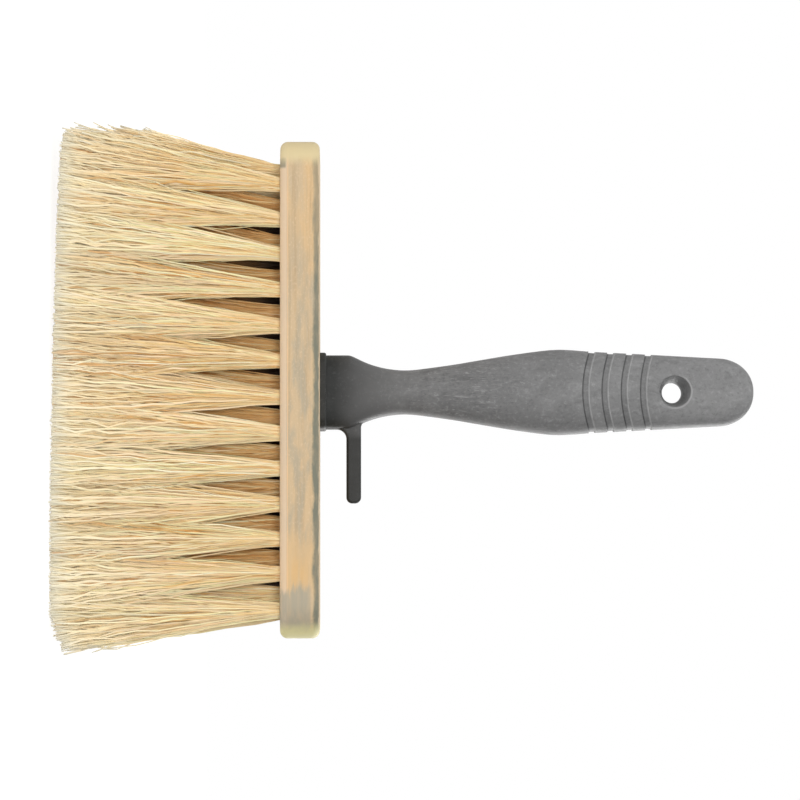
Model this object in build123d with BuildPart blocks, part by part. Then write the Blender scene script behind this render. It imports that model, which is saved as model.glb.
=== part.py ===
from build123d import *
import os
from math import cos, exp, radians, sin, sqrt, tan

# Flat block brush: a wooden block with six rows of natural-fibre tufts, and a moulded plastic
# handle with a bucket hook and a hang hole. The brush stands on its trimmed tips at Z = 0 with
# the handle straight up. X runs along the block, Y across it, and the hook points along +X.
# All sizes are millimetres.

# ---- wooden block
block_length = 170.0
block_width = 70.0
block_thickness = 13.5
block_corner = 12.0  # radius of the block's corners, seen from above
block_edge = 2.6  # rounding of its long edges

# ---- tufts and their seats in the block
bristle_length = 78.1  # free length, from the tuft face to the trimmed tips
row_count = 6
tuft_pitch = 12.13  # from tuft to tuft along a row
end_margin = 9.0  # from a block end to the centre of the nearest tuft
side_margin = 8.75  # from a long side to the centre line of the outer row
hole_diameter = 5.8
hole_depth = 9.5
tuft_clearance = 0.15  # all round a tuft's root in its hole
strip_border = 1.3  # wood left beside the holes in the strip that carries one row
strip_thickness = 1.5
strip_clearance = 0.1  # all round a strip in its slot

# ---- strands
strand_columns = 3  # strands in a tuft, along the row
strand_lines = 2  # strands in a tuft, across the row
strand_root_gap = 0.2  # between neighbours where they leave the block
strand_gap = 0.7  # between neighbours further down
strand_seat = 0.6  # how deep a strand is rooted in its strip
meet_distance = 26.0  # below the tuft face, where neighbouring tufts meet
tip_overhang_length = 5.5  # how far the tips spread past each block end
tip_overhang_width = 3.3  # how far they spread past each long side
trim_depth = 0.5  # what the flat trim takes off the tips

# ---- wire anchor across each folded tuft
anchor_bite = 0.4  # how far each end goes into the wood beside the hole
anchor_thickness = 0.5
anchor_height = 2.2
anchor_clearance = 0.1

# ---- handle, heights are above the block
handle_length = 151.1
foot_width = 25.8
foot_depth = 16.0
foot_height = 9.7  # up to its shoulder
neck_width = 15.4
neck_depth = 14.6
neck_height = 30.0
shoulder_rounding = 0.15  # share of the way from the foot to the neck that the shoulder takes to bend
belly_width = 29.8
belly_depth = 21.0
belly_height = 82.3
end_width = 23.8
end_depth = 16.6
end_rounding = 12.5  # length of the rounded end
foot_fullness = 0.93  # of a section's corners: 0.55 is an ellipse, and 1 nearly square
neck_fullness = 0.66
belly_fullness = 0.68
end_fullness = 0.78
foot_sections = 4  # up the straight foot, closest together at its shoulder
neck_sections = 8  # from the foot to the neck, closest together at the shoulder
belly_sections = 7  # from the neck to the belly
grip_sections = 5  # from the belly to the rounded end
end_sections = 7
end_turn = 84.6  # degrees that the end's rounding turns through before the small flat at its tip
end_width_power = 0.9  # of the cosine that draws the end's width in
end_depth_power = 0.45  # of the cosine that draws its depth in

# ---- flange under the foot, with its screws
flange_thickness = 2.2
flange_lip = 0.2  # how far the flange stands out from the foot's sides
flange_corner = 4.0
flange_edge = 0.7
flange_border = 3.0  # plastic left beyond a screw head
screw_length = 12.0
screw_diameter = 3.8  # over the thread
screw_core = 2.8
screw_thread_pitch = 1.6
screw_point = 2.6
screw_head_diameter = 7.0
screw_head_angle = 90.0
screw_recess_length = 3.6
screw_recess_width = 0.9
screw_recess_depth = 1.1
screw_clearance = 0.15

# ---- hook that hangs the brush on a bucket's rim
hook_height = 9.2  # from the block to the hook's underside
hook_thickness = 5.1
hook_depth = 8.0
hook_reach = 38.7  # from the handle's axis to the tip
hook_root_under = 3.3  # fillet on the block's side
hook_root_over = 3.2  # fillet on the handle's side
hook_web_sink = 0.8  # how far the web behind that fillet lies inside the handle's side
hook_tip = 2.1
hook_edge = 1.0

# ---- finger grooves
groove_count = 4
groove_pitch = 6.7
groove_from_hang = 31.3  # from the hang hole down to the middle of the first groove's bow
groove_width = 2.2
groove_deep = 0.45
groove_bow = 36.0  # radius of the bow, seen from the front

# ---- hang hole
hang_from_end = 27.9
hang_diameter = 7.2
hang_rim_diameter = 10.6  # of the funnel that leads in from the front
hang_land = 6.0  # straight part of the hole, at the back
hang_edge = 1.0  # rounding of both rims

# ---- places worked out from the sizes above
tuft_face = bristle_length
block_top = tuft_face + block_thickness
row_pitch = (block_width - 2 * side_margin) / (row_count - 1)
stagger = tuft_pitch / 4  # rows are shifted this much to one side and the other in turn
tuft_count = int((block_length - 2 * (end_margin + stagger)) / tuft_pitch) + 1
half_row = (tuft_count - 1) / 2 * tuft_pitch + stagger
strip_width = hole_diameter + 2 * strip_border
strip_length = 2 * half_row + strip_width
anchor_length = hole_diameter + 2 * anchor_bite
root_side = hole_diameter / sqrt(2)  # square that holds a tuft's strands at the block
cell_end = half_row + tuft_pitch / 2
cell_side = (row_count - 1) / 2 * row_pitch + row_pitch / 2
fan_length = (block_length / 2 + tip_overhang_length) / cell_end - 1
fan_width = (block_width / 2 + tip_overhang_width) / cell_side - 1

# The handle's face at the hang hole lies between those at the belly and at the rounded end.
end_base = handle_length - end_rounding
hang_height = handle_length - hang_from_end
first_groove = hang_height - groove_from_hang
hang_share = (hang_height - belly_height) / (end_base - belly_height)
hang_face = (belly_depth + (end_depth - belly_depth) * hang_share) / 2


def tuft_places(row):
    """The centres of the tufts in a row: rows are shifted by turns, so that tufts lie staggered."""
    across = (row - (row_count - 1) / 2) * row_pitch
    shift = stagger if row % 2 == 0 else -stagger
    first = -(tuft_count - 1) / 2 * tuft_pitch + shift
    return [(first + place * tuft_pitch, across) for place in range(tuft_count)]


# A screw stands in the wood furthest from the tufts: beside a middle one of an inner row, and half-way
# between two of the next row out.
screw_from_row = (row_pitch**2 + (tuft_pitch / 2) ** 2) / (2 * row_pitch)
front_row = row_count // 2 - 1
front_tuft = tuft_places(front_row)[tuft_count - 1 - tuft_count // 2]
rear_tuft = tuft_places(front_row + 1)[tuft_count // 2]
screw_places = [
    (front_tuft[0], front_tuft[1] - screw_from_row),
    (rear_tuft[0], rear_tuft[1] + screw_from_row),
]
screw_hole = screw_diameter / 2 + screw_clearance
screw_head = screw_head_diameter / 2 + screw_clearance
flange_depth = 2 * (screw_places[1][1] + screw_head + flange_border)


def strand_outline(tuft, column, line, depth):
    """The four corners of a strand at a depth below the tuft face, in order round it."""
    share = min(depth / meet_distance, 1)  # 0 at the block, 1 where the tufts meet
    fall = depth / bristle_length
    corners = []
    for centre, place, count, pitch, fan in (
        (tuft[0], column, strand_columns, tuft_pitch, fan_length),
        (tuft[1], line, strand_lines, row_pitch, fan_width),
    ):
        spread = 1 + fan * fall
        root_step = root_side / count
        full_step = pitch * spread / count
        step = root_step + (full_step - root_step) * share
        gap = strand_root_gap + (strand_gap - strand_root_gap) * share
        middle = centre * spread + (place - (count - 1) / 2) * step
        corners.append((middle - (step - gap) / 2, middle + (step - gap) / 2))
    (left, right), (front, back) = corners
    return [(left, front), (right, front), (right, back), (left, back)]


def strand(tuft, column, line):
    """One four-sided lock of fibre, from inside its strip through the meeting depth to below the trim."""
    outlines = []
    for depth, height in (
        (0, tuft_face + strand_seat),
        (0, tuft_face),
        (meet_distance, tuft_face - meet_distance),
        (bristle_length, -trim_depth),
    ):
        corners = [(x, y, height) for x, y in strand_outline(tuft, column, line, depth)]
        outlines.append(Wire.make_polygon(corners, close=True))
    return Solid.make_loft(outlines, ruled=True)


def even(share):
    """Straight from 0 to 1."""
    return share


def crowd(share):
    """From 0 to 1 with the first steps shortest."""
    return 1 - cos(radians(90) * share)


def fall(share):
    """From 0 to 1, steep after a short rounded start and level at the end."""
    return 1 - (1 - share) ** 2 * (1 + 2 * share * exp(-share / shoulder_rounding))


def swell(share):
    """From 0 to 1, half of it straight and half of it eased."""
    return (share + share**2 * (3 - 2 * share)) / 2


def between(start, end, share):
    """The value at a share of the way from start to end."""
    return start + (end - start) * share


def handle_stations():
    """Height, width, depth and fullness of each section of the handle, from the block upwards."""
    foot = (foot_width, foot_depth, foot_fullness)
    neck = (neck_width, neck_depth, neck_fullness)
    belly = (belly_width, belly_depth, belly_fullness)
    end = (end_width, end_depth, end_fullness)
    stations = [
        (foot_height * sin(radians(90) * step / foot_sections), *foot)
        for step in range(foot_sections + 1)
    ]
    for low, high, start, finish, steps, spacing, shape in (
        (foot_height, neck_height, foot, neck, neck_sections, crowd, fall),
        (neck_height, belly_height, neck, belly, belly_sections, even, swell),
        (belly_height, end_base, belly, end, grip_sections, even, even),
    ):
        for step in range(1, steps + 1):
            share = spacing(step / steps)
            sizes = [between(a, b, shape(share)) for a, b in zip(start, finish)]
            stations.append((between(low, high, share), *sizes))
    for step in range(1, end_sections + 1):
        turn = radians(end_turn) * step / end_sections
        height = end_base + end_rounding * sin(turn) / sin(radians(end_turn))
        width = end_width * cos(turn) ** end_width_power
        depth = end_depth * cos(turn) ** end_depth_power
        stations.append((height, width, depth, end_fullness))
    return stations


def side_of_neck(height):
    """How far the handle's side stands from its axis, between the foot and the neck."""
    share = (height - foot_height) / (neck_height - foot_height)
    return between(foot_width, neck_width, fall(share)) / 2


def handle_body(inset):
    """The handle's body drawn in by an inset all round: a loft through its sections."""
    with BuildPart(mode=Mode.PRIVATE) as body:
        for height, width, depth, fullness in handle_stations():
            half_width = width / 2 - inset
            half_depth = depth / 2 - inset
            with BuildSketch(Plane.XY.offset(block_top + height)):
                with BuildLine():
                    Bezier(
                        (half_width, 0),
                        (half_width, fullness * half_depth),
                        (fullness * half_width, half_depth),
                        (0, half_depth),
                    )
                    mirror(about=Plane.YZ)
                    mirror(about=Plane.XZ)
                make_face()
        loft()
    return body.part


os.makedirs("parts", exist_ok=True)

# ---- block: one blind hole for each tuft, a slot for each strip, and the pilot holes for the screws
with BuildPart() as block:
    with BuildSketch(Plane.XY.offset(tuft_face)):
        RectangleRounded(block_length, block_width, block_corner)
    extrude(amount=block_thickness)
    fillet(block.faces().sort_by(Axis.Z)[0].edges() + block.faces().sort_by(Axis.Z)[-1].edges(), block_edge)
    with BuildSketch(Plane.XY.offset(tuft_face)):
        for row in range(row_count):
            with Locations((0, tuft_places(row)[0][1])):
                SlotOverall(strip_length, strip_width)
    extrude(amount=strip_thickness, mode=Mode.SUBTRACT)
    with BuildSketch(Plane.XY.offset(tuft_face)):
        for row in range(row_count):
            with Locations(*tuft_places(row)):
                Circle(hole_diameter / 2)
    extrude(amount=hole_depth, mode=Mode.SUBTRACT)
    with BuildSketch(Plane.XY.offset(tuft_face + hole_depth - anchor_height)):
        for row in range(row_count):
            with Locations(*tuft_places(row)):
                Rectangle(anchor_thickness + 2 * anchor_clearance, anchor_length + 2 * anchor_clearance)
    extrude(amount=anchor_height, mode=Mode.SUBTRACT)
    with BuildSketch(Plane.XY.offset(block_top)):
        with Locations(*screw_places):
            Circle(screw_hole)
    extrude(amount=flange_thickness - screw_length - screw_clearance, mode=Mode.SUBTRACT)
block.part.label = "block"
export_step(block.part, "parts/block.step")

# ---- tuft rows: a strip with a root in each hole, notched for its anchor, and the strands below
for row in range(row_count):
    places = tuft_places(row)
    strands = [
        strand(place, column, line)
        for place in places
        for column in range(strand_columns)
        for line in range(strand_lines)
    ]
    with BuildPart() as tuft_row:
        with BuildSketch(Plane.XY.offset(tuft_face)):
            with Locations((0, places[0][1])):
                SlotOverall(strip_length - 2 * strip_clearance, strip_width - 2 * strip_clearance)
        extrude(amount=strip_thickness - strip_clearance)
        with BuildSketch(Plane.XY.offset(tuft_face)):
            with Locations(*places):
                Circle(hole_diameter / 2 - tuft_clearance)
        extrude(amount=hole_depth - tuft_clearance)
        with BuildSketch(Plane.XY.offset(tuft_face + hole_depth - anchor_height - anchor_clearance)):
            with Locations(*places):
                Rectangle(anchor_thickness + 2 * anchor_clearance, hole_diameter)
        extrude(amount=anchor_height, mode=Mode.SUBTRACT)
        add(strands)
        split(bisect_by=Plane.XY, keep=Keep.TOP)
    name = f"tuft_row_{row + 1}"
    tuft_row.part.label = name
    export_step(tuft_row.part, f"parts/{name}.step")

# ---- anchors: a short flat wire over each folded tuft, its ends bitten into the wood
for row in range(row_count):
    with BuildPart() as anchor_row:
        with BuildSketch(Plane.XY.offset(tuft_face + hole_depth - anchor_height)):
            with Locations(*tuft_places(row)):
                Rectangle(anchor_thickness, anchor_length)
        extrude(amount=anchor_height - anchor_clearance)
    name = f"wire_anchors_{row + 1}"
    anchor_row.part.label = name
    export_step(anchor_row.part, f"parts/{name}.step")

# ---- handle: body, flange and hook in one moulding
with BuildPart() as grooves:  # bowed bands that go round the grip, and only as deep as its core lets them
    for place in range(groove_count):
        bow_centre = block_top + first_groove + place * groove_pitch + groove_bow
        with BuildSketch(Plane.XZ):
            with Locations((0, bow_centre)):
                Circle(groove_bow + groove_width / 2)
                Circle(groove_bow - groove_width / 2, mode=Mode.SUBTRACT)
                lower_half = (Align.CENTER, Align.MAX)
                Rectangle(2 * belly_width, 2 * groove_bow, align=lower_half, mode=Mode.INTERSECT)
        extrude(amount=belly_depth, both=True)
    add(handle_body(groove_deep), mode=Mode.SUBTRACT)

with BuildPart() as hook:  # a flat peg with a web inside the foot, filleted where it leaves the handle
    hook_under = block_top + hook_height
    hook_over = hook_under + hook_thickness
    web_top = hook_over + hook_thickness
    shoulder = side_of_neck(hook_over - block_top) - hook_web_sink
    web_side = side_of_neck(web_top - block_top) - hook_web_sink
    corners = (
        (foot_width / 2, hook_under, hook_root_under),
        (shoulder, hook_over, hook_root_over),
        (hook_reach, hook_under, hook_tip),
        (hook_reach, hook_over, hook_tip),
    )
    with BuildSketch(Plane.XZ) as hook_face:
        with BuildLine():
            Polyline(
                (0, block_top + flange_thickness),
                (foot_width / 2, block_top + flange_thickness),
                (foot_width / 2, hook_under),
                (hook_reach, hook_under),
                (hook_reach, hook_over),
                (shoulder, hook_over),
                (web_side, web_top),
                (0, web_top),
                close=True,
            )
        make_face()
        for x, z, radius in corners:
            fillet(hook_face.vertices().sort_by_distance((x, z, 0))[0], radius)
    extrude(amount=hook_depth / 2, both=True)
    fillet(hook.faces().sort_by(Axis.Y)[0].edges() + hook.faces().sort_by(Axis.Y)[-1].edges(), hook_edge)

with BuildPart() as hang_hole:  # a funnel from the front, then a straight land, with rounded rims
    middle = block_top + hang_height
    rim = middle + hang_rim_diameter / 2
    bore = middle + hang_diameter / 2
    past_face = hang_face + hang_edge
    with BuildSketch(Plane.YZ):
        with BuildLine():
            front_lip = Line((-past_face, middle), (-past_face, rim + hang_edge))
            front_face = Line(front_lip @ 1, (-hang_face, rim + hang_edge))
            front_round = RadiusArc(front_face @ 1, (-hang_face + hang_edge, rim), -hang_edge)
            funnel = Line(front_round @ 1, (hang_face - hang_land, bore))
            land = Line(funnel @ 1, (hang_face - hang_edge, bore))
            back_round = RadiusArc(land @ 1, (hang_face, bore + hang_edge), -hang_edge)
            back_face = Line(back_round @ 1, (past_face, bore + hang_edge))
            back_lip = Line(back_face @ 1, (past_face, middle))
            Line(back_lip @ 1, front_lip @ 0)
        make_face()
    revolve(axis=Axis((0, 0, middle), (0, 1, 0)))

with BuildPart() as handle:
    with BuildSketch(Plane.XY.offset(block_top)):
        RectangleRounded(foot_width + 2 * flange_lip, flange_depth, flange_corner)
    extrude(amount=flange_thickness)
    fillet(handle.faces().sort_by(Axis.Z)[-1].edges(), flange_edge)
    add(handle_body(0))
    add(hook.part)
    add(grooves.part, mode=Mode.SUBTRACT)
    add(hang_hole.part, mode=Mode.SUBTRACT)
    with Locations(*[(x, y, block_top + flange_thickness) for x, y in screw_places]):
        CounterSinkHole(screw_hole, screw_head, flange_thickness, screw_head_angle)
handle.part.label = "handle"
export_step(handle.part, "parts/handle.step")

# ---- screws: countersunk, through the flange into the block
for name, (across, along) in zip(("handle_screw_front", "handle_screw_rear"), screw_places):
    head_top = block_top + flange_thickness
    core = screw_core / 2
    head = screw_head_diameter / 2
    thread_end = screw_length - screw_point
    thread_turns = int((thread_end - flange_thickness) / screw_thread_pitch)
    head_height = (head - core) / tan(radians(screw_head_angle / 2))
    profile = [(0, 0), (head, 0), (core, -head_height)]
    for turn in range(thread_turns, 0, -1):
        below = thread_end - turn * screw_thread_pitch
        profile += [(core, -below), (screw_diameter / 2, -below - screw_thread_pitch / 2)]
    profile += [(core, -thread_end), (0, -screw_length)]
    with BuildPart() as screw:
        with BuildSketch(Plane((across, along, head_top), x_dir=(1, 0, 0), z_dir=(0, -1, 0))):
            with BuildLine():
                Polyline(*profile, close=True)
            make_face()
        revolve(axis=Axis((across, along, 0), (0, 0, 1)))
        with BuildSketch(Plane((across, along, head_top))):
            Rectangle(screw_recess_length, screw_recess_width)
            Rectangle(screw_recess_width, screw_recess_length)
        extrude(amount=-screw_recess_depth, mode=Mode.SUBTRACT)
    screw.part.label = name
    export_step(screw.part, f"parts/{name}.step")
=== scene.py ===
"""Looks of a flat block brush: wooden block, staggered plant-fibre tufts, and a grey plastic handle.

The brush stands on its trimmed tips at Z = 0, with the handle straight up. X runs along the block, the
hook points along +X, and the picture is taken from -Y with the handle pointing to the picture's right.
All sizes are metres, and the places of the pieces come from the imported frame.
"""

import logging
import math
from dataclasses import dataclass, field
from enum import Enum
from typing import Any, ClassVar, Optional, Sequence, Union

import bpy
import numpy as np
from bpy.types import ColorRamp, Material, Mesh, Node, NodeSocket, Object, World
from mathutils import Matrix, Vector
from numpy.random import Generator, default_rng

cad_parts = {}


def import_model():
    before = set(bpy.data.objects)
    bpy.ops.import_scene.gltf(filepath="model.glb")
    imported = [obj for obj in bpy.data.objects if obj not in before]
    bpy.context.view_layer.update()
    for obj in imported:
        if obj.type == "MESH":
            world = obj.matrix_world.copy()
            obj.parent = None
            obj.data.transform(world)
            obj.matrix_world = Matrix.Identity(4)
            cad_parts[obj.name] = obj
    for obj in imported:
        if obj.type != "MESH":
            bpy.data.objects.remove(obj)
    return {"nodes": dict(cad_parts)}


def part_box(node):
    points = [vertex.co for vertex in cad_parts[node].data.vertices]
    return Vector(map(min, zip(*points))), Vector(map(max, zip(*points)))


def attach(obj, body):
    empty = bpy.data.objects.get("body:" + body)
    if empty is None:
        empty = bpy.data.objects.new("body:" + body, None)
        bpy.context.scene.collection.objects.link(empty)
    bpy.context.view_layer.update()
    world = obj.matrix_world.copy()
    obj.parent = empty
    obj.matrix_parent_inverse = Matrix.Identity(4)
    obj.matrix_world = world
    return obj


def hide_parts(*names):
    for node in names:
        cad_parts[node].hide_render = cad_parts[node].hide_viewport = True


frame: dict[str, Any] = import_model()

log = logging.getLogger("block_brush")

MM = 0.001
ROW_COUNT = 6
TUFTS_IN_ROW = 13
STRAND_MAP = "OFBake"  # the fibres' own map: across it the shade, up it the way from root to tip

Colour = tuple[float, float, float, float]
Place = tuple[float, float, float]
Span = tuple[float, float]
Strands = tuple[np.ndarray, np.ndarray, np.ndarray]  # points along each fibre, their radii, its shade


class Slot(Enum):
    """The record's material slots for the wood and the fibres."""

    WOOD = "planed_wood"
    FIBRE = "plant_fibre"


class Half(Enum):
    """The two halves of a tuft row, on either side of the handle."""

    PLAIN = "plain_end"
    HOOK = "hook_end"


def paint(red: float, green: float, blue: float) -> Colour:
    """Turns a colour written as 0 to 255 into the linear colour that a shader takes.

    Args:
        red: Red, from 0 to 255.
        green: Green, from 0 to 255.
        blue: Blue, from 0 to 255.

    Returns:
        The linear colour with an alpha of 1.
    """
    shares = (value / 255 for value in (red, green, blue))
    linear = (s / 12.92 if s <= 0.04045 else ((s + 0.055) / 1.055) ** 2.4 for s in shares)
    return (*linear, 1.0)


class Value:
    """A number that varies over a surface: a socket whose arithmetic adds Math nodes."""

    def __init__(self, bench: "Bench", socket: NodeSocket) -> None:
        """Wraps a socket of the bench's nodes."""
        self.bench = bench
        self.socket = socket

    def _math(self, operation: str, *others: "Input") -> "Value":
        """Adds one Math node.

        Args:
            operation: The node's operation.
            others: What stands in its inputs, in order.

        Returns:
            The node's result.
        """
        inputs = {place: other for place, other in enumerate(others)}
        made = self.bench.node("ShaderNodeMath", {"operation": operation}, inputs)
        return Value(self.bench, made.outputs[0])

    def __add__(self, other: "Number") -> "Value":
        """Sum, in either order."""
        return self._math("ADD", self, other)

    def __sub__(self, other: "Number") -> "Value":
        """Difference."""
        return self._math("SUBTRACT", self, other)

    def __rsub__(self, other: float) -> "Value":
        """Difference from a number."""
        return self._math("SUBTRACT", other, self)

    def __mul__(self, other: "Number") -> "Value":
        """Product, in either order."""
        return self._math("MULTIPLY", self, other)

    __radd__ = __add__
    __rmul__ = __mul__

    def __truediv__(self, other: "Number") -> "Value":
        """Quotient."""
        return self._math("DIVIDE", self, other)

    def __pow__(self, power: float) -> "Value":
        """Power."""
        return self._math("POWER", self, power)

    def larger(self, other: NodeSocket) -> "Value":
        """The larger of this and another socket's number."""
        return self._math("MAXIMUM", self, other)

    def swing(self, reach: float) -> "Value":
        """A value from 0 to 1, made to swing evenly about 0 over this reach in all."""
        return (self - 0.5) * reach

    def rise(self, low: float, high: float) -> "Value":
        """A smooth step that is 0 up to low and 1 from high.

        Args:
            low: Where it starts; it may lie above high, and then the step falls.
            high: Where it ends.

        Returns:
            The step, from 0 to 1.
        """
        inputs = {"Value": self, "From Min": low, "From Max": high}
        made = self.bench.node("ShaderNodeMapRange", {"interpolation_type": "SMOOTHSTEP"}, inputs)
        return Value(self.bench, made.outputs["Result"])

    def band(self, start: float, end: float, soft: float) -> "Value":
        """1 between start and end, falling to 0 over soft on both sides."""
        return self.rise(start - soft, start + soft) * (1 - self.rise(end - soft, end + soft))


Number = Union[Value, float]
Input = Union[Value, NodeSocket, float, Sequence[float]]


@dataclass(frozen=True)
class Pattern:
    """A cloudy pattern, which varies around a half."""

    per_metre: Place  # how many clouds there are along X, Y and Z
    detail: float = 2.0  # how many finer layers it has
    roughness: float = 0.5  # how strong those are
    distortion: float = 0.0  # how much it is stirred
    shift: float = 0.0  # moves it, so that two alike differ


class Bench:
    """Makes the nodes of one material or of the world."""

    def __init__(self, owner: Union[Material, World]) -> None:
        """Clears the owner's nodes.

        Args:
            owner: What the nodes belong to.
        """
        owner.use_nodes = True
        owner.node_tree.nodes.clear()
        self.owner = owner
        self.tree = owner.node_tree
        self._places: Optional[NodeSocket] = None

    def node(
        self,
        kind: str,
        settings: Optional[dict[str, Any]] = None,
        inputs: Optional[dict[Union[str, int], Input]] = None,
    ) -> Node:
        """Adds a node.

        Args:
            kind: The node's type.
            settings: Its own settings, set first; "stops" is a ramp's list of places and colours.
            inputs: A value or a link for each named or numbered socket.

        Returns:
            The node.
        """
        made = self.tree.nodes.new(kind)
        for name, setting in (settings or {}).items():
            if name == "stops":
                self._set_stops(made.color_ramp, setting)
            else:
                setattr(made, name, setting)
        for name, value in (inputs or {}).items():
            self._feed(made.inputs[name], value)
        return made

    @staticmethod
    def _set_stops(ramp: ColorRamp, stops: Sequence[tuple[float, Colour]]) -> None:
        """Gives a ramp its stops, in order.

        Args:
            ramp: The ramp.
            stops: Each stop's place and colour.
        """
        while len(ramp.elements) < len(stops):
            ramp.elements.new(1.0)
        for element, (place, colour) in zip(ramp.elements, stops):
            element.position = place
            element.color = colour

    def _feed(self, socket: NodeSocket, value: Input) -> None:
        """Links a socket, or sets it where the value is a constant.

        Args:
            socket: The socket.
            value: What it takes.
        """
        if isinstance(value, Value):
            value = value.socket
        if isinstance(value, NodeSocket):
            self.tree.links.new(value, socket)
        else:
            socket.default_value = value

    def stand_on(self, places: NodeSocket) -> None:
        """Takes places from this socket, and not from the piece's own coordinates."""
        self._places = places

    def places(self) -> NodeSocket:
        """The place on the surface: in the frame, unless stand_on has named another.

        Returns:
            The place's socket.
        """
        if self._places is None:
            self._places = self.node("ShaderNodeTexCoord").outputs["Object"]
        return self._places

    def along(self, axis: int) -> Value:
        """How far a place lies along X, Y or Z, numbered 0 to 2."""
        return Value(self, self.node("ShaderNodeSeparateXYZ", {}, {0: self.places()}).outputs[axis])

    def noise(self, pattern: Pattern) -> Value:
        """Lays a pattern over the places.

        Args:
            pattern: The pattern.

        Returns:
            Its value, from 0 to 1.
        """
        inputs = {"Vector": self.places(), "Scale": pattern.per_metre, "Location": (pattern.shift,) * 3}
        stretched = self.node("ShaderNodeMapping", {"vector_type": "POINT"}, inputs).outputs[0]
        inputs = {
            "Vector": stretched,
            "Scale": 1.0,
            "Detail": pattern.detail,
            "Roughness": pattern.roughness,
            "Distortion": pattern.distortion,
        }
        return Value(self, self.node("ShaderNodeTexNoise", {}, inputs).outputs[0])

    def ramp(self, value: Value, stops: Sequence[tuple[float, Colour]]) -> NodeSocket:
        """A colour that runs through the stops as the value rises."""
        return self.node("ShaderNodeValToRGB", {"stops": stops}, {0: value}).outputs["Color"]

    def mix(self, share: Number, first: Input, second: Input) -> NodeSocket:
        """The colour between the first, at a share of 0, and the second, at a share of 1."""
        made = self.node("ShaderNodeMix", {"data_type": "RGBA"}, {0: share, 6: first, 7: second})
        return made.outputs[2]

    def bump(self, height: Value, depth: float) -> NodeSocket:
        """The normal that a height from 0 to 1 gives, where 1 stands depth metres proud."""
        inputs = {"Height": height, "Distance": depth, "Strength": 1.0}
        return self.node("ShaderNodeBump", {}, inputs).outputs["Normal"]

    def blend(self, share: Number, first: Node, second: Node) -> Node:
        """The shader between the first, at a share of 0, and the second, at a share of 1."""
        return self.node("ShaderNodeMixShader", {}, {0: share, 1: first.outputs[0], 2: second.outputs[0]})

    def show(self, surface: Node) -> None:
        """Ends the nodes in the owner's output, which shows this shader."""
        owner = "World" if isinstance(self.owner, World) else "Material"
        self.node(f"ShaderNodeOutput{owner}", {}, {"Surface": surface.outputs[0]})

    def skin(self, inputs: dict[Union[str, int], Input]) -> Material:
        """Ends a material in one Principled shader with these inputs."""
        self.show(self.node("ShaderNodeBsdfPrincipled", {}, inputs))
        return self.owner


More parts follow.
